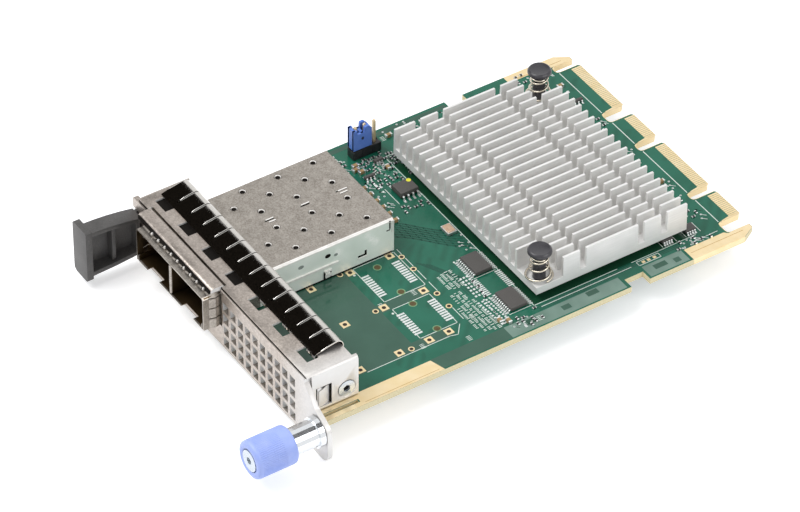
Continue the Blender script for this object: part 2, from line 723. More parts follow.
def heatsink(material):
    """Extruded fins with cross cuts: a grid of cells, some of them raised from the base."""
    xs = []
    for k in range(FIN_COUNT):
        left = SINK_X - sink_width() / 2 + FIN_PITCH * k
        xs += [left, left + FIN_T]
    ys = [behind(sink_front())]
    for middle in sink_cuts():
        ys += [behind(middle - CUT_W / 2), behind(middle + CUT_W / 2)]
    ys.append(behind(sink_rear()))
    shape = bmesh.new()
    base_top = above(SINK_Z + SINK_BASE_T)
    grid = [[shape.verts.new((x, y, base_top)) for y in ys] for x in xs]
    fins = []
    last_row = len(ys) - 2
    for i in range(len(xs) - 1):
        for j in range(len(ys) - 1):
            face = shape.faces.new((grid[i][j], grid[i + 1][j], grid[i + 1][j + 1], grid[i][j + 1]))
            fin, is_fin = i // 2, i % 2 == 0
            near_corner = j == 0 and fin >= FIN_COUNT - CORNER_FINS
            far_corner = j == last_row and fin < CORNER_FINS
            if is_fin and j % 2 == 0 and not near_corner and not far_corner:
                fins.append(face)
    raised = bmesh.ops.extrude_discrete_faces(shape, faces=fins)
    for face in raised["faces"]:
        bmesh.ops.translate(shape, verts=face.verts, vec=(0.0, 0.0, SINK_TOP - SINK_Z - SINK_BASE_T))
    rim = [edge for edge in shape.edges if edge.is_boundary]
    skirt = bmesh.ops.extrude_edge_only(shape, edges=rim)
    lowered = [item for item in skirt["geom"] if isinstance(item, bmesh.types.BMVert)]
    bmesh.ops.translate(shape, verts=lowered, vec=(0.0, 0.0, -SINK_BASE_T))
    bmesh.ops.contextual_create(shape, geom=[e for e in shape.edges if e.is_boundary])
    flat = [e for e in shape.edges if len(e.link_faces) == 2 and e.calc_face_angle(0.0) < 0.001]
    bmesh.ops.dissolve_edges(shape, edges=flat, use_verts=True)
    sink = make_object("heatsink", shape, material)
    bores = bmesh.new()
    for pin in push_pin_places():
        prism(bores, ring(pin.x, pin.y, PUSH_SHANK_R + HOLE_FIT, 12), above(SINK_Z - GAP),
              base_top + GAP)
    return combine(sink, "DIFFERENCE", bores)


def controller_chip(material):
    x, y = chip_middle()
    shape = bmesh.new()
    half = CHIP_W / 2
    block(shape, (x - half, y - half, above(SOLDER)), (x + half, y + half, above(SOLDER + CHIP_T)))
    return make_object("controller_chip", shape, material)


def thermal_pad(material):
    x, y = chip_middle()
    shape = bmesh.new()
    half = PAD_W / 2
    top = SINK_Z - SOLDER
    block(shape, (x - half, y - half, above(top - PAD_T)), (x + half, y + half, above(top)))
    return make_object("thermal_pad", shape, material)


def push_pin(name, place, material):
    """A nylon pin with a split barb that snaps through the board."""
    under_head = PUSH_TOP - PUSH_HEAD_T
    seat = SINK_Z + SINK_BASE_T + GAP
    below = -BOARD_T - GAP
    profile = [(0.0, PUSH_TOP), (PUSH_HEAD_R - 0.4 * MM, PUSH_TOP),
               (PUSH_HEAD_R, PUSH_TOP - 0.4 * MM), (PUSH_HEAD_R, under_head), (PUSH_R, under_head),
               (PUSH_R, seat), (PUSH_SHANK_R, seat), (PUSH_SHANK_R, below), (PUSH_BARB_R, below),
               (PUSH_BARB_R, below - 0.4 * MM), (PUSH_SHANK_R * 0.7, below - PUSH_BARB_L),
               (0.0, below - PUSH_BARB_L)]
    shape = bmesh.new()
    turned(shape, profile, place + Vector((0.0, 0.0, TOP)), "Z", 12)
    pin = make_object(name, shape, material)
    split = bmesh.new()
    block(split, (place.x - PUSH_BARB_R - GAP, place.y - PUSH_SPLIT / 2, above(below - PUSH_BARB_L - GAP)),
          (place.x + PUSH_BARB_R + GAP, place.y + PUSH_SPLIT / 2, above(0.0)))
    return smooth(combine(pin, "DIFFERENCE", split))


def push_pin_spring(name, place, material):
    bottom = SINK_Z + SINK_BASE_T + GAP
    top = PUSH_TOP - PUSH_HEAD_T - GAP
    shape = bmesh.new()
    coil(shape, place + Vector((0.0, 0.0, above(bottom))), "Z", top - bottom,
         COIL_BOTTOM_R, COIL_TOP_R, COIL_TURNS, COIL_WIRE)
    return smooth(make_object(name, shape, material))


# Cage

def cage_section():
    """Corner points of the cage's cross section from the left wall's foot over the roof to the
    right wall's foot, each with its outward direction and whether a slit starts there."""
    left = CAGE_X - CAGE_W / 2
    right = CAGE_X + CAGE_W / 2
    foot, roof = above(GAP), above(GAP + CAGE_H)
    side_pitch = (CAGE_H - CAGE_BEND) / SIDE_FINGERS
    climb = [(left, foot, -1, 0, False)]
    for k in range(1, SIDE_FINGERS + 1):
        level = foot + side_pitch * k - FINGER_SLIT
        climb.append((left, level, -1, 0, True))
        climb.append((left, level + FINGER_SLIT, -1, 0, False))
    roof_pitch = (CAGE_W - 2 * CAGE_BEND) / ROOF_FINGERS
    across = [(left + CAGE_BEND, roof, 0, 1, False)]
    for k in range(1, ROOF_FINGERS):
        x = left + CAGE_BEND + roof_pitch * k - FINGER_SLIT / 2
        across.append((x, roof, 0, 1, True))
        across.append((x + FINGER_SLIT, roof, 0, 1, False))
    across.append((right - CAGE_BEND, roof, 0, 1, False))
    descent = []
    for x, z, out_x, out_z, slit in reversed(climb):
        descent.append((right, z, 1, 0, False))
    for k in range(SIDE_FINGERS):
        x, z, out_x, out_z, slit = descent[2 * k]
        descent[2 * k] = (x, z, out_x, out_z, True)
    return climb + across + descent


def cage_shell(material):
    """One folded sheet: roof, side walls, rear wall, spring fingers round the front and pins."""
    section = cage_section()
    front = CAGE_FRONT
    rows = [(front, 0.0), (front + FINGER_START, 0.0), (front + FINGER_PEAK, FINGER_RISE),
            (front + FINGER_END, 0.0), (CAGE_REAR, 0.0)]
    shape = bmesh.new()
    grid = []
    for distance, rise in rows:
        grid.append([shape.verts.new((x + out_x * rise, behind(distance), z + out_z * rise))
                     for x, z, out_x, out_z, slit in section])
    for r in range(len(rows) - 1):
        for c in range(len(section) - 1):
            if section[c][4] and r in (1, 2):
                continue
            shape.faces.new((grid[r][c], grid[r][c + 1], grid[r + 1][c + 1], grid[r + 1][c]))
    roof = [k for k, point in enumerate(section) if point[3] == 1]
    rear_foot = [shape.verts.new((section[k][0], behind(CAGE_REAR), above(GAP + BASE_LIP)))
                 for k in roof]
    for k in range(len(roof) - 1):
        shape.faces.new((grid[-1][roof[k]], grid[-1][roof[k + 1]], rear_foot[k + 1], rear_foot[k]))
    bmesh.ops.recalc_face_normals(shape, faces=shape.faces[:])
    flat = [e for e in shape.edges if len(e.link_faces) == 2 and e.calc_face_angle(0.0) < 0.001]
    bmesh.ops.dissolve_edges(shape, edges=flat, use_verts=False)
    cage = make_object("cage_shell", shape, material)
    roof_face = max(cage.data.polygons, key=lambda face: face.area * (face.normal.z ** 2))
    thicken(cage, CAGE_SHEET, -1.0 if roof_face.normal.z > 0 else 1.0)
    extras = bmesh.new()
    walls = (cage_walls()[0], cage_walls()[2])
    for wall in walls:
        for y in PIN_ROWS:
            block(extras, (wall - CAGE_SHEET / 2, behind(y) - PIN_W / 2, -PIN_BELOW),
                  (wall + CAGE_SHEET / 2, behind(y) + PIN_W / 2, above(BASE_LIP)))
        outward = math.copysign(SIDE_RIB_OUT, wall - CAGE_X)
        face = wall + math.copysign(CAGE_SHEET / 2, outward)
        low, high = sorted((face - outward / 2, face + outward))
        block(extras, (low, behind(SIDE_RIB_Y[0]), above(SIDE_RIB_Z)),
              (high, behind(SIDE_RIB_Y[1]), above(SIDE_RIB_Z + SIDE_RIB_H)))
    combine(cage, "UNION", extras)
    holes = bmesh.new()
    low, high = above(CAGE_H - CAGE_SHEET), above(CAGE_H + FINGER_RISE)
    for port in port_centres():
        for column, share in enumerate(VENT_COLUMNS):
            stagger = VENT_PITCH / 2 if column == 1 else 0.0
            for row in range(VENT_ROWS):
                y = VENT_FIRST + VENT_PITCH * row - stagger
                prism(holes, ring(port + PORT_W * share, behind(y), VENT_R, 8), low, high)
    for row in range(VENT_ROWS):
        y = behind(VENT_FIRST + VENT_PITCH * row)
        block(holes, (CAGE_X - ROOF_SLOT_W * 1.5, y - ROOF_SLOT_L / 2, low),
              (CAGE_X - ROOF_SLOT_W / 2, y + ROOF_SLOT_L / 2, high))
    return combine(cage, "DIFFERENCE", holes)


def cage_base(material):
    """The cage's floor: front tabs with a latch gap in each port, and two upturned lips."""
    inner = CAGE_W / 2 - CAGE_SHEET - GAP
    left, right = CAGE_X - inner, CAGE_X + inner
    front = behind(CAGE_FRONT)
    rear = behind(BASE_REAR)
    corners = [(left, front)]
    for x in port_centres():
        corners += [(x - LATCH_W / 2, front), (x - LATCH_W / 2, front + LATCH_D),
                    (x + LATCH_W / 2, front + LATCH_D), (x + LATCH_W / 2, front)]
    corners += [(right, front), (right, rear), (left, rear)]
    floor, sheet_top = above(GAP), above(GAP + CAGE_SHEET)
    shape = bmesh.new()
    prism(shape, rounded(corners), floor, sheet_top)
    base = make_object("cage_base", shape, material)
    lips = bmesh.new()
    for low, high in ((left, left + CAGE_SHEET), (right - CAGE_SHEET, right)):
        block(lips, (low, front, floor), (high, rear, above(GAP + BASE_LIP)))
    return combine(base, "UNION", lips)


def cage_divider(material):
    """A strip folded back on itself at the front, between the two ports."""
    front = behind(CAGE_FRONT)
    rear = behind(CAGE_REAR) - CAGE_SHEET - GAP
    half = DIVIDER_W / 2
    inner = half - CAGE_SHEET
    corners = [(CAGE_X - half, rear), (CAGE_X - half, front, half * 0.9),
               (CAGE_X + half, front, half * 0.9), (CAGE_X + half, rear), (CAGE_X + inner, rear),
               (CAGE_X + inner, front + CAGE_SHEET), (CAGE_X - inner, front + CAGE_SHEET),
               (CAGE_X - inner, rear)]
    shape = bmesh.new()
    low = above(2 * GAP + CAGE_SHEET)
    prism(shape, rounded(corners), low, above(CAGE_H - CAGE_SHEET))
    divider = make_object("cage_divider", shape, material)
    pins = bmesh.new()
    for y in PIN_ROWS:
        if y > BASE_REAR + PIN_W:
            block(pins, (CAGE_X - half, behind(y) - PIN_W / 2, -PIN_BELOW),
                  (CAGE_X - inner, behind(y) + PIN_W / 2, low + BASE_LIP))
    return combine(divider, "UNION", pins)


def port_connector(name, x, material):
    """The edge socket at the back of a port, with its card slot and two locating pegs."""
    front = behind(PLUG_Y)
    shape = bmesh.new()
    side = rounded([(front, above(SOLDER)), (front + PLUG_D, above(SOLDER)),
                    (front + PLUG_D, above(PLUG_H), 1.0 * MM), (front, above(PLUG_H), 0.5 * MM)])
    prism(shape, side, x - PLUG_W / 2, x + PLUG_W / 2, "YZ")
    plug = make_object(name, shape, material)
    slot = bmesh.new()
    block(slot, (x - PLUG_SLOT_W / 2, front - GAP, above(PLUG_SLOT_Z)),
          (x + PLUG_SLOT_W / 2, front + PLUG_SLOT_D, above(PLUG_SLOT_Z + PLUG_SLOT_H)))
    combine(plug, "DIFFERENCE", slot)
    pegs = bmesh.new()
    for side in (-1, 1):
        prism(pegs, ring(x + side * PEG_PITCH / 2, behind(PEG_Y), PEG_R, 8), GAP, above(1.0 * MM))
    return combine(plug, "UNION", pegs)


# Faceplate

def ear_outline():
    """Right end of the faceplate from its top edge down round the thumbscrew."""
    right = flange_faces()[1]
    axis = above(THUMB_Z)
    return [(right, above(PLATE_TOP), 0.4 * MM), (right, axis + 9.2 * MM),
            (THUMB_X - 1.6 * MM, axis + 4.6 * MM, 2.0 * MM),
            (EAR_RIGHT, axis + 2.0 * MM, 3.0 * MM), (EAR_RIGHT, above(EAR_BOTTOM), 2.4 * MM),
            (EAR_LEFT, above(EAR_BOTTOM), 0.8 * MM), (EAR_LEFT - 1.2 * MM, above(PLATE_BOTTOM), 0.5 * MM)]


def vent_holes():
    first = CAGE_X + CAGE_W / 2 + OPENING_FIT + VENT_WEB + VENT_HOLE_W / 2
    room = flange_faces()[1] - FLANGE_T - VENT_HOLE_W / 2 - first
    holes = []
    for column in range(int(room / VENT_HOLE_PITCH_X) + 1):
        for row in range(VENT_HOLE_ROWS):
            x = first + VENT_HOLE_PITCH_X * column
            z = above(VENT_HOLE_TOP - VENT_HOLE_PITCH_Z * row)
            holes.append(rectangle(x - VENT_HOLE_W / 2, z - VENT_HOLE_H / 2,
                                   x + VENT_HOLE_W / 2, z + VENT_HOLE_H / 2))
    return holes


def faceplate(material):
    left_flange, right_flange = flange_faces()
    front, back = behind(PLATE_FRONT), behind(PLATE_FRONT + PLATE_T)
    notch_top = above(TAB_ROOT_TOP + GAP)
    notch_bottom = above(TAB_ROOT_BOTTOM)
    outline = rounded(ear_outline() + [
        (PLATE_LEFT, above(PLATE_BOTTOM), 0.5 * MM), (PLATE_LEFT, notch_bottom),
        (left_flange, notch_bottom), (left_flange, notch_top), (PLATE_LEFT, notch_top),
        (PLATE_LEFT, above(PLATE_TOP), 0.5 * MM)])
    fit = OPENING_FIT
    opening = rectangle(CAGE_X - CAGE_W / 2 - fit, above(GAP - fit),
                        CAGE_X + CAGE_W / 2 + fit, above(GAP + CAGE_H + fit))
    bore = ring(THUMB_X, above(THUMB_Z), FERRULE_NECK_R + HOLE_FIT, 16)
    shape = bmesh.new()
    prism(shape, outline, front, back, "XZ", [opening, bore, *vent_holes()])
    plate = make_object("faceplate", shape, material)
    countersink = bmesh.new()
    bore, widened = FERRULE_NECK_R + HOLE_FIT, FERRULE_FLARE + STEP
    turned(countersink, [(0.0, PLATE_T + GAP), (bore + widened + GAP, PLATE_T + GAP),
                         (bore, PLATE_T - widened), (0.0, PLATE_T - widened)], thumb_axis(), "Y", 16)
    combine(plate, "DIFFERENCE", countersink)

    folds = bmesh.new()
    visor_right = CAGE_X + CAGE_W / 2
    tip = front - VISOR_OUT
    visor_low = above(PLATE_TOP - 0.1 * MM)
    visor_high = visor_low + VISOR_T
    visor = rounded([(tip, visor_low), (back, visor_low - 0.2 * MM), (back, visor_high, VISOR_ROUND),
                     (tip, visor_high, VISOR_ROUND)])
    prism(folds, visor, VISOR_LEFT, visor_right, "YZ")
    combine(plate, "UNION", folds)

    for face, inward in ((left_flange, 1), (right_flange, -1)):
        wall = bmesh.new()
        low_x, high_x = sorted((face, face + inward * FLANGE_T))
        top = above(PLATE_TOP - GAP)
        profile = [(back - PLATE_T / 2, top), (behind(FLANGE_REAR), top, 1.0 * MM),
                   (behind(FLANGE_REAR), above(GAP)), (back + GAP, above(GAP)),
                   (back + GAP, top - FLANGE_ROOT), (back - PLATE_T / 2, top - FLANGE_ROOT)]
        prism(wall, rounded(profile), low_x, high_x, "YZ",
              [ring(behind(SCREW_Y), above(SCREW_Z), SCREW_R + THREAD_FIT, 12)])
        combine(plate, "UNION", wall)
        foot = bmesh.new()
        low_x, high_x = sorted((face + inward * FLANGE_T / 2, face + inward * FOOT_W))
        screw_x = face + inward * FOOT_W / 2
        prism(foot, rectangle(low_x, behind(FOOT_FRONT), high_x, behind(FLANGE_REAR)),
              above(GAP), above(GAP + FOOT_T),
              holes=[ring(screw_x, behind(FOOT_SCREW_Y), FOOT_SCREW_R + THREAD_FIT, 12)])
        combine(plate, "UNION", foot)
        snap = bmesh.new()
        root = face + inward * FLANGE_T / 2
        reach = face - inward * HOOD_T
        start, end = behind(SIDE_WINDOW_Y[0] + 0.5 * MM), behind(SIDE_WINDOW_Y[1] - 0.5 * MM)
        prism(snap, [(root, start), (reach, start), (reach, start + 0.8 * MM), (root, end)],
              above(SIDE_WINDOW_Z[0] + 0.6 * MM), above(SIDE_WINDOW_Z[1] - 0.4 * MM))
        combine(plate, "UNION", snap)
    return plate


# Hood and spring finger strip

def window_starts():
    """Left edges of the hood's windows, as many as its width has room for."""
    room = HOOD_RIGHT - HOOD_BEND - WINDOW_W - WINDOW_FIRST
    return [WINDOW_FIRST + WINDOW_PITCH * k for k in range(int(room / WINDOW_PITCH) + 1)]


def strip_fingers():
    return int((HOOD_RIGHT - HOOD_BEND - STRIP_LEFT) / STRIP_PITCH)


def hood(material):
    """A sheet folded down at both ends, with windows for the strip's hooks."""
    outer = rounded([(HOOD_LEFT, above(GAP)), (HOOD_LEFT, above(HOOD_TOP), HOOD_BEND),
                     (HOOD_RIGHT, above(HOOD_TOP), HOOD_BEND), (HOOD_RIGHT, above(GAP))])
    bend = HOOD_BEND - HOOD_T
    inner = rounded([(HOOD_RIGHT - HOOD_T, above(GAP)),
                     (HOOD_RIGHT - HOOD_T, above(HOOD_TOP) - HOOD_T, bend),
                     (HOOD_LEFT + HOOD_T, above(HOOD_TOP) - HOOD_T, bend),
                     (HOOD_LEFT + HOOD_T, above(GAP))])
    shape = bmesh.new()
    prism(shape, outer + inner, behind(HOOD_FRONT), behind(HOOD_SIDE_REAR), "XZ")
    cover = make_object("hood", shape, material)

    cuts = bmesh.new()
    low, high = above(HOOD_TOP) - HOOD_T - GAP, above(HOOD_TOP) + GAP
    for x in window_starts():
        block(cuts, (x, behind(WINDOW_Y[0]), low), (x + WINDOW_W, behind(WINDOW_Y[1]), high))
    plate_back = behind(PLATE_FRONT + PLATE_T)
    block(cuts, (VISOR_LEFT - GAP, behind(HOOD_FRONT) - GAP, low),
          (CAGE_X + CAGE_W / 2 + GAP, plate_back + GAP, high))
    side_cut_top = above(PLATE_TOP + GAP + STEP)
    inset = HOOD_BEND + STEP
    block(cuts, (HOOD_LEFT + inset, behind(HOOD_REAR), low),
          (HOOD_RIGHT - inset, behind(HOOD_SIDE_REAR) + GAP, high))
    combine(cover, "DIFFERENCE", cuts)
    for x_low, x_high in ((HOOD_LEFT - GAP, HOOD_LEFT + HOOD_T + GAP),
                          (HOOD_RIGHT - HOOD_T - GAP, HOOD_RIGHT + GAP)):
        side = bmesh.new()
        block(side, (x_low, behind(HOOD_FRONT) - GAP, above(0.0)), (x_high, plate_back + GAP, side_cut_top))
        block(side, (x_low, behind(SIDE_WINDOW_Y[0]), above(SIDE_WINDOW_Z[0])),
              (x_high, behind(SIDE_WINDOW_Y[1]), above(SIDE_WINDOW_Z[1])))
        combine(cover, "DIFFERENCE", side)
    bores = bmesh.new()
    place = Vector((0.0, behind(SCREW_Y), above(SCREW_Z)))
    edge = SCREW_HEAD_R + HOLE_FIT
    turned(bores, [(0.0, HOOD_RIGHT + GAP), (edge + GAP, HOOD_RIGHT + GAP),
                   (edge - HOOD_T - GAP, HOOD_RIGHT - HOOD_T - GAP),
                   (0.0, HOOD_RIGHT - HOOD_T - GAP)], place, "X", 16)
    turned(bores, [(0.0, HOOD_LEFT + HOOD_T + GAP), (SCREW_R + HOLE_FIT, HOOD_LEFT + HOOD_T + GAP),
                   (SCREW_R + HOLE_FIT, HOOD_LEFT - GAP), (0.0, HOOD_LEFT - GAP)], place, "X", 16)
    return combine(cover, "DIFFERENCE", bores)


def strip_profile():
    """Side view of a finger: (distance behind the board's front edge, height above the hood)."""
    foot = GAP
    peak = STRIP_RISE + GAP
    roll = HOOD_REAR + GAP + 0.3 * MM
    return [(STRIP_FOOT, foot), (STRIP_FOOT + 0.9 * MM, foot),
            (STRIP_SLIT_START, foot + STRIP_RISE * 0.66), (STRIP_PEAK - 1.0 * MM, peak - 0.1 * MM),
            (STRIP_PEAK, peak), (STRIP_PEAK + 1.0 * MM, peak - 0.3 * MM), (roll - 0.2 * MM, foot + 0.1 * MM),
            (roll, foot - 0.5 * MM), (roll, foot - STRIP_DROP)]


def emi_finger_strip(material):
    """Thin sprung sheet: one foot that hooks into the hood's windows, and a row of fingers."""
    profile = strip_profile()
    columns = []
    for k in range(strip_fingers()):
        left = STRIP_LEFT + STRIP_PITCH * k
        columns += [(left, False), (left + STRIP_PITCH - STRIP_SLIT, True)]
    shape = bmesh.new()
    hood_top = above(HOOD_TOP)
    grid = [[shape.verts.new((x, behind(y), hood_top + z)) for x, slit in columns] for y, z in profile]
    first_split = next(k for k, point in enumerate(profile) if point[0] >= STRIP_SLIT_START)
    for r in range(len(profile) - 1):
        for c in range(len(columns) - 1):
            if columns[c][1] and r >= first_split:
                continue
            shape.faces.new((grid[r][c], grid[r][c + 1], grid[r + 1][c + 1], grid[r + 1][c]))
    bmesh.ops.recalc_face_normals(shape, faces=shape.faces[:])
    flat = [e for e in shape.edges if len(e.link_faces) == 2 and e.calc_face_angle(0.0) < 0.001]
    bmesh.ops.dissolve_edges(shape, edges=flat, use_verts=False)
    strip = make_object("emi_finger_strip", shape, material)
    top_face = max(strip.data.polygons, key=lambda face: abs(face.normal.z) * face.area)
    thicken(strip, STRIP_T, 1.0 if top_face.normal.z > 0 else -1.0)
    hooks = bmesh.new()
    under = hood_top - HOOD_T - GAP
    hook_w = WINDOW_W - 4 * GAP
    for window in window_starts():
        x = window + (WINDOW_W - hook_w) / 2
        start = behind(STRIP_FOOT)
        profile = [(start, hood_top + GAP + STRIP_T / 2), (start, under - STRIP_T),
                   (start + HOOK_L, under - STRIP_T), (start + HOOK_L, under),
                   (start + STRIP_T, under), (start + STRIP_T, hood_top + GAP + STRIP_T / 2)]
        right = min(x + hook_w, STRIP_LEFT + STRIP_PITCH * strip_fingers() - STRIP_SLIT)
        prism(hooks, profile, max(x, STRIP_LEFT), right, "YZ")
    return combine(strip, "UNION", hooks)


# Screws

def socket_cut(part, middle, axis, face, depth):
    """Cuts a six-sided drive socket into a screw head."""
    tool = bmesh.new()
    low, high = sorted((face + math.copysign(GAP, depth), face - depth))
    if axis == "X":
        prism(tool, ring(middle.y, middle.z, SOCKET_R, 6), low, high, "YZ")
    elif axis == "Y":
        prism(tool, ring(middle.x, middle.z, SOCKET_R, 6), low, high, "XZ")
    else:
        prism(tool, ring(middle.x, middle.y, SOCKET_R, 6), low, high, "XY")
    return combine(part, "DIFFERENCE", tool)


def side_screw(name, face, side, material):
    """Flat-head screw through the hood into a flange; the left one holds the pull tab too."""
    place = Vector((0.0, behind(SCREW_Y), above(SCREW_Z)))
    profile = [(0.0, face), (SCREW_HEAD_R, face), (SCREW_R, face - side * HOOD_T),
               (SCREW_R, face - side * SCREW_L), (0.0, face - side * SCREW_L)]
    shape = bmesh.new()
    turned(shape, profile, place, "X", 16)
    screw = smooth(make_object(name, shape, material))
    return socket_cut(screw, place, "X", face, side * SOCKET_D)


def foot_screw(name, place, material):
    """Pan-head screw from below, through the board into a flange's foot."""
    head_top = -GAP
    head_bottom = head_top - FOOT_SCREW_HEAD_H
    end = above(GAP + FOOT_T + FOOT_SCREW_END)
    profile = [(0.0, head_bottom), (FOOT_SCREW_HEAD_R - 0.4 * MM, head_bottom),
               (FOOT_SCREW_HEAD_R, head_top - 0.5 * MM), (FOOT_SCREW_HEAD_R, head_top),
               (FOOT_SCREW_R, head_top), (FOOT_SCREW_R, end), (0.0, end)]
    shape = bmesh.new()
    turned(shape, profile, Vector((*place, 0.0)), "Z", 12)
    screw = smooth(make_object(name, shape, material))
    return socket_cut(screw, Vector((*place, 0.0)), "Z", head_bottom, -SOCKET_D)


# Pull tab

def pull_tab(material):
    """Moulded arm of channel section with a grip across its end and a foot along the hood."""
    stations = 5
    root_y = behind(PLATE_FRONT) - GAP
    shape = bmesh.new()
    rings = []
    for k in range(stations):
        share = k / (stations - 1)
        bow = TAB_BOW * math.sin(math.pi * share)
        top = above(TAB_ROOT_TOP + (TAB_TIP_TOP - TAB_ROOT_TOP) * share + bow)
        bottom = above(TAB_ROOT_BOTTOM + (TAB_TIP_BOTTOM - TAB_ROOT_BOTTOM) * share - bow / 2)
        y = root_y - TAB_ARM * share
        open_edge = TAB_X + TAB_W
        inner = TAB_X + TAB_WALL
        section = ((open_edge, top), (TAB_X, top), (TAB_X, bottom), (open_edge, bottom),
                   (open_edge, bottom + TAB_WALL), (inner, bottom + TAB_WALL),
                   (inner, top - TAB_WALL), (open_edge, top - TAB_WALL))
        rings.append([shape.verts.new((x, y, z)) for x, z in section])
    for near, far in zip(rings, rings[1:]):
        for c in range(len(near)):
            shape.faces.new((near[c - 1], near[c], far[c], far[c - 1]))
    shape.faces.new(rings[0])
    shape.faces.new(rings[-1])
    tab = make_object("pull_tab", shape, material)

    tip_y = root_y - TAB_ARM
    grip = bmesh.new()
    right = TAB_X + TAB_W + STEP
    left = right - GRIP_W
    prism(grip, rounded([(left, above(GRIP_BOTTOM), GRIP_ROUND * 2), (right, above(GRIP_BOTTOM), GRIP_ROUND),
                         (right, above(GRIP_TOP), GRIP_ROUND), (left, above(GRIP_TOP), GRIP_ROUND)]),
          tip_y - GRIP_T / 2, tip_y + GRIP_T / 2, "XZ")
    combine(tab, "UNION", grip)
    rib = bmesh.new()
    rib_y = behind(PLATE_FRONT) - TAB_RIB_Y
    block(rib, (TAB_X + TAB_WALL / 2, rib_y - TAB_RIB_T / 2, above(TAB_ROOT_BOTTOM + TAB_WALL / 2)),
          (right - 0.8 * MM, rib_y + TAB_RIB_T / 2, above(TAB_ROOT_TOP - TAB_WALL / 2)))
    combine(tab, "UNION", rib)
    closing = bmesh.new()
    block(closing, (TAB_X + TAB_WALL / 2, root_y - TAB_WALL, above(TAB_ROOT_BOTTOM + TAB_WALL / 2)),
          (right - 0.8 * MM, root_y - STEP, above(TAB_ROOT_TOP - TAB_WALL / 2)))
    combine(tab, "UNION", closing)
    foot = bmesh.new()
    place_y, place_z = behind(SCREW_Y), above(SCREW_Z)
    prism(foot, rounded([(root_y - TAB_WALL / 2, above(GAP)), (behind(FLANGE_REAR), above(GAP), 0.8 * MM),
                         (behind(FLANGE_REAR), above(TAB_FOOT_TOP), 1.5 * MM),
                         (root_y - TAB_WALL / 2, above(TAB_FOOT_TOP))]),
          TAB_X + STEP, TAB_X + TAB_FOOT_T, "YZ",
          [ring(place_y, place_z, SCREW_R + HOLE_FIT, 16)])
    combine(tab, "UNION", foot)
    sink = bmesh.new()
    edge = SCREW_HEAD_R + HOLE_FIT
    turned(sink, [(0.0, TAB_X - GAP), (edge + GAP, TAB_X - GAP), (SCREW_R + HOLE_FIT / 2, TAB_X + HOOD_T + 0.4 * MM),
                  (0.0, TAB_X + HOOD_T + 0.4 * MM)], Vector((0.0, place_y, place_z)), "X", 16)
    return combine(tab, "DIFFERENCE", sink)


# Thumbscrew

def thumb_axis(distance=0.0):
    """A point on the thumbscrew's axis, this far in front of the faceplate's front face."""
    return Vector((THUMB_X, behind(PLATE_FRONT) - distance, above(THUMB_Z)))


def thumbscrew_ferrule(material):
    """Turned sleeve riveted into the ear, flush with its rear, with a well for the spring."""
    front = -(KNOB_REAR + FERRULE_LIP)
    bore = THUMB_SCREW_R + RUN_FIT
    well = -SPRING_WELL_END
    back = PLATE_T - STEP
    profile = [(SPRING_WELL_R, front), (FERRULE_R, front), (FERRULE_R, -GAP - FERRULE_RING_T),
               (FERRULE_RING_R, -GAP - FERRULE_RING_T), (FERRULE_RING_R, -GAP), (FERRULE_NECK_R, -GAP),
               (FERRULE_NECK_R, back - FERRULE_FLARE), (FERRULE_NECK_R + FERRULE_FLARE, back),
               (bore, back), (bore, well), (SPRING_WELL_R, well)]
    shape = bmesh.new()
    turned(shape, profile, thumb_axis(), "Y", 20)
    return smooth(make_object("thumbscrew_ferrule", shape, material))


def knob_front():
    return KNOB_REAR + KNOB_L


def knob_bore_end():
    """Bottom of the knob's bore, in front of the faceplate: at the end of the travel the
    washer just clears the ferrule."""
    return KNOB_REAR + FERRULE_LIP + THUMB_TRAVEL + THUMB_WASHER_T + 2 * GAP


def thumbscrew_knob(material):
    """Moulded knob with fine lengthwise grooves, bored from the rear to slide over the ferrule."""
    front, rear = -knob_front(), -KNOB_REAR
    sides = KNOB_GROOVES * 2
    bore = FERRULE_R + RUN_FIT
    bore_end = -knob_bore_end()
    screw = THUMB_SCREW_R + THREAD_FIT
    pocket_end = front + THUMB_HEAD_L + GAP
    pocket = THUMB_HEAD_R + THREAD_FIT
    profile = [(pocket, front, 0.0), (KNOB_R - KNOB_CHAMFER, front, 0.0),
               (KNOB_R, front + KNOB_CHAMFER, 0.0), (KNOB_R, front + 2 * KNOB_CHAMFER, KNOB_GROOVE_D),
               (KNOB_R, rear - KNOB_COLLAR, KNOB_GROOVE_D), (KNOB_R, rear - KNOB_COLLAR + GAP, 0.0),
               (KNOB_R, rear - GAP, 0.0), (KNOB_R - GAP, rear, 0.0), (bore, rear, 0.0),
               (bore, bore_end, 0.0), (screw, bore_end, 0.0), (screw, pocket_end, 0.0),
               (pocket, pocket_end, 0.0)]
    shape = bmesh.new()
    lathe = Matrix.Rotation(-math.pi / 2, 4, "X")
    rings = []
    for radius, along, groove in profile:
        rings.append([shape.verts.new(thumb_axis() + lathe @ Vector((
            (radius - groove * (k % 2)) * math.cos(math.tau * k / sides),
            (radius - groove * (k % 2)) * math.sin(math.tau * k / sides), along)))
            for k in range(sides)])
    for index, near in enumerate(rings):
        far = rings[(index + 1) % len(rings)]
        for k in range(sides):
            shape.faces.new((near[k], near[(k + 1) % sides], far[(k + 1) % sides], far[k]))
    return smooth(make_object("thumbscrew_knob", shape, material, thumb_axis()), 30.0)


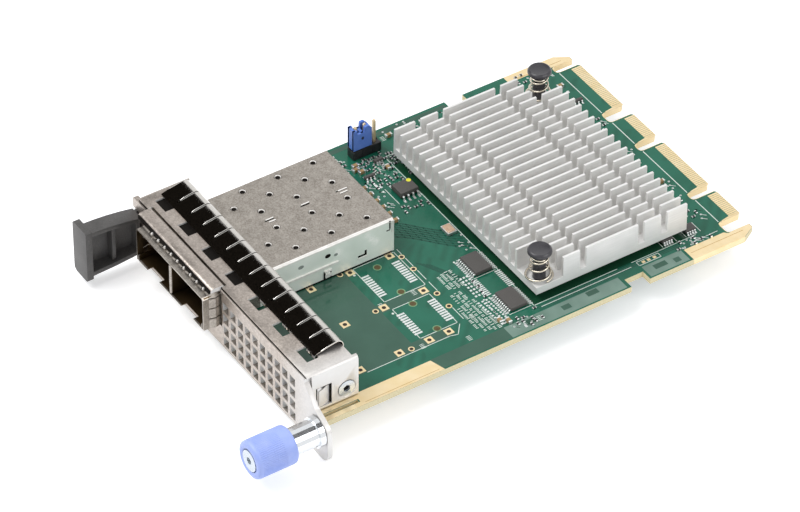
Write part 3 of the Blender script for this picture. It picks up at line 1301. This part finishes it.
def thumbscrew_screw(material):
    front = -knob_front()
    tip = PLATE_T - THUMB_TIP
    profile = [(0.0, front), (THUMB_HEAD_R, front), (THUMB_HEAD_R, front + THUMB_HEAD_L),
               (THUMB_SCREW_R, front + THUMB_HEAD_L), (THUMB_SCREW_R, tip - 0.5 * MM),
               (THUMB_SCREW_R - 0.4 * MM, tip), (0.0, tip)]
    shape = bmesh.new()
    turned(shape, profile, thumb_axis(), "Y", 16)
    screw = smooth(make_object("thumbscrew_screw", shape, material, thumb_axis()))
    return socket_cut(screw, thumb_axis(), "Y", thumb_axis(knob_front()).y, -SOCKET_D * 2)


def thumbscrew_washer(material):
    seat = GAP - knob_bore_end()
    bore = THUMB_SCREW_R + RUN_FIT
    rim = FERRULE_R - GAP
    shape = bmesh.new()
    turned(shape, [(bore, seat), (rim, seat), (rim, seat + THUMB_WASHER_T),
                   (bore, seat + THUMB_WASHER_T)], thumb_axis(), "Y", 16)
    return make_object("thumbscrew_washer", shape, material, thumb_axis())


def thumbscrew_spring(material):
    start = knob_bore_end() - GAP - THUMB_WASHER_T - GAP
    end = SPRING_WELL_END + GAP
    shape = bmesh.new()
    coil(shape, thumb_axis(start), "Y", start - end, THUMB_SPRING_R, THUMB_SPRING_R,
         THUMB_SPRING_TURNS, THUMB_SPRING_WIRE, sides=4, steps=8)
    return smooth(make_object("thumbscrew_spring", shape, material, thumb_axis()))


# Jumper header

def jumper_header(material):
    x, middle_y = HEADER_X, behind(HEADER_Y)
    half = HEADER_PITCH * 1.5
    bores = [rectangle(px - HEADER_BORE / 2, py - HEADER_BORE / 2, px + HEADER_BORE / 2, py + HEADER_BORE / 2)
             for px, py in header_pins()]
    shape = bmesh.new()
    prism(shape, rectangle(x - HEADER_W / 2, middle_y - half, x + HEADER_W / 2, middle_y + half),
          above(SOLDER), above(SOLDER + HEADER_H), holes=bores)
    return make_object("jumper_header", shape, material)


def header_pin(name, place, material):
    x, y = place
    half = HEADER_PIN_W / 2
    shape = bmesh.new()
    block(shape, (x - half, y - half, -HEADER_PIN_BELOW), (x + half, y + half, above(HEADER_PIN_TOP)))
    return make_object(name, shape, material)


def jumper_shunt(material):
    """Bridges the two front pins of the header."""
    pins = header_pins()[:2]
    middle = (pins[0][1] + pins[1][1]) / 2
    bores = [rectangle(px - HEADER_BORE / 2, py - HEADER_BORE / 2, px + HEADER_BORE / 2, py + HEADER_BORE / 2)
             for px, py in pins]
    low = above(SOLDER + HEADER_H + GAP)
    shape = bmesh.new()
    prism(shape, rectangle(HEADER_X - HEADER_W / 2, middle - SHUNT_L / 2, HEADER_X + HEADER_W / 2,
                           middle + SHUNT_L / 2), low, low + SHUNT_H, holes=bores)
    return make_object("jumper_shunt", shape, material)


# Leaded and small surface-mounted parts

def leaded_chip(name, x, distance, row_l, depth, height, pitch, leads, across_x, material):
    """A moulded package with bent leads on two sides; across_x puts the leads on the X sides."""
    y = behind(distance)
    low, high = above(SOLDER), above(SOLDER + height)
    half_row, half_depth = row_l / 2, depth / 2
    half = (half_depth, half_row) if across_x else (half_row, half_depth)
    shape = bmesh.new()
    block(shape, (x - half[0], y - half[1], low + LEAD_T), (x + half[0], y + half[1], high))
    chip = make_object(name, shape, material)
    legs = bmesh.new()
    knee = low + LEAD_RISE
    for side in (-1, 1):
        face = half_depth * side
        out = side * LEAD_REACH
        profile = [(face - side * LEAD_T, knee), (face - side * LEAD_T, knee - LEAD_T),
                   (face + out * 0.3, knee - LEAD_T), (face + out * 0.45, low),
                   (face + out, low), (face + out, low + LEAD_T),
                   (face + out * 0.45 + side * LEAD_T, low + LEAD_T), (face + out * 0.3 + side * LEAD_T, knee)]
        for k in range(leads):
            along = (k - (leads - 1) / 2) * pitch
            if across_x:
                corners = [(x + u, z) for u, z in profile]
                prism(legs, corners, y + along - LEAD_W / 2, y + along + LEAD_W / 2, "XZ")
            else:
                corners = [(y + u, z) for u, z in profile]
                prism(legs, corners, x + along - LEAD_W / 2, x + along + LEAD_W / 2, "YZ")
    return combine(chip, "UNION", legs)


def flat_part(name, x, distance, size, material):
    """A small package soldered flat on the board."""
    y = behind(distance)
    shape = bmesh.new()
    block(shape, (x - size[0] / 2, y - size[1] / 2, above(SOLDER)),
          (x + size[0] / 2, y + size[1] / 2, above(SOLDER + size[2])))
    return make_object(name, shape, material)


def build():
    clear_scene()
    solder_mask = finish_material("solder_mask", (0.02, 0.16, 0.09), 0.4, 0.0)
    aluminium = finish_material("aluminium", (0.72, 0.72, 0.70), 0.4, 1.0)
    black_plastic = finish_material("black_plastic", (0.015, 0.015, 0.017), 0.4, 0.0)
    pad_grey = finish_material("thermal_pad_grey", (0.45, 0.45, 0.47), 0.8, 0.0)
    spring_steel = finish_material("spring_steel", (0.75, 0.75, 0.75), 0.2, 1.0)
    nickel = finish_material("matt_nickel", (0.62, 0.60, 0.56), 0.35, 1.0)
    grip_grey = finish_material("grip_grey", (0.09, 0.10, 0.11), 0.55, 0.0)
    knob_blue = finish_material("knob_blue", (0.30, 0.42, 0.90), 0.5, 0.0)
    shunt_blue = finish_material("shunt_blue", (0.08, 0.16, 0.62), 0.5, 0.0)
    gold = finish_material("gold", (0.85, 0.62, 0.25), 0.3, 1.0)
    copper = finish_material("copper_lid", (0.70, 0.45, 0.30), 0.3, 1.0)

    circuit_board(solder_mask)
    heatsink(aluminium)
    controller_chip(black_plastic)
    thermal_pad(pad_grey)
    near_pin, far_pin = push_pin_places()
    push_pin("push_pin_front", near_pin, black_plastic)
    push_pin("push_pin_rear", far_pin, black_plastic)
    push_pin_spring("push_pin_spring_front", near_pin, spring_steel)
    push_pin_spring("push_pin_spring_rear", far_pin, spring_steel)

    cage_shell(nickel)
    cage_base(nickel)
    cage_divider(nickel)
    left_port, right_port = port_centres()
    port_connector("port_connector_left", left_port, black_plastic)
    port_connector("port_connector_right", right_port, black_plastic)

    faceplate(nickel)
    hood(nickel)
    emi_finger_strip(spring_steel)
    side_screw("side_screw_right", HOOD_RIGHT, 1, spring_steel)
    side_screw("side_screw_left", TAB_X, -1, spring_steel)
    for name, place in zip(("foot_screw_left", "foot_screw_right"), foot_screw_places()):
        foot_screw(name, place, spring_steel)
    pull_tab(grip_grey)

    thumbscrew_ferrule(spring_steel)
    thumbscrew_knob(knob_blue)
    thumbscrew_screw(spring_steel)
    thumbscrew_washer(spring_steel)
    thumbscrew_spring(spring_steel)

    jumper_header(black_plastic)
    for name, place in zip(("header_pin_front", "header_pin_middle", "header_pin_rear"), header_pins()):
        header_pin(name, place, gold)
    jumper_shunt(shunt_blue)
    driver_x, driver_y = BOARD_W / 2 - DRIVER_IN, sink_front() - DRIVER_AHEAD
    leaded_chip("driver_chip_left", driver_x - DRIVER_SPACING, driver_y, DRIVER_ROW_L, DRIVER_DEPTH,
                DRIVER_H, DRIVER_PITCH, DRIVER_LEADS, False, black_plastic)
    leaded_chip("driver_chip_right", driver_x, driver_y, DRIVER_ROW_L, DRIVER_DEPTH,
                DRIVER_H, DRIVER_PITCH, DRIVER_LEADS, False, black_plastic)
    leaded_chip("memory_chip", MEMORY_X, sink_front() - MEMORY_AHEAD, MEMORY_ROW_L, MEMORY_DEPTH,
                MEMORY_H, MEMORY_PITCH, MEMORY_LEADS, True, black_plastic)
    flat_part("oscillator", OSCILLATOR_X, sink_front() - OSCILLATOR_AHEAD, OSCILLATOR, copper)
    regulator_x = BOARD_W / 2 - REGULATOR_IN
    for name, ahead in zip(("regulator_right", "regulator_rear"), REGULATOR_AHEAD):
        flat_part(name, regulator_x, BOARD_L - ahead, REGULATOR, black_plastic)
    flat_part("regulator_left", REGULATOR_LEFT_IN - BOARD_W / 2, BOARD_L - REGULATOR_LEFT_AHEAD,
              TRANSISTOR, black_plastic)
    flat_part("transistor", HEADER_X + TRANSISTOR_OFF[0], HEADER_Y + TRANSISTOR_OFF[1], TRANSISTOR,
              black_plastic)
    flat_part("logic_gate", HEADER_X + GATE_OFF[0], HEADER_Y + GATE_OFF[1], GATE, black_plastic)


build()
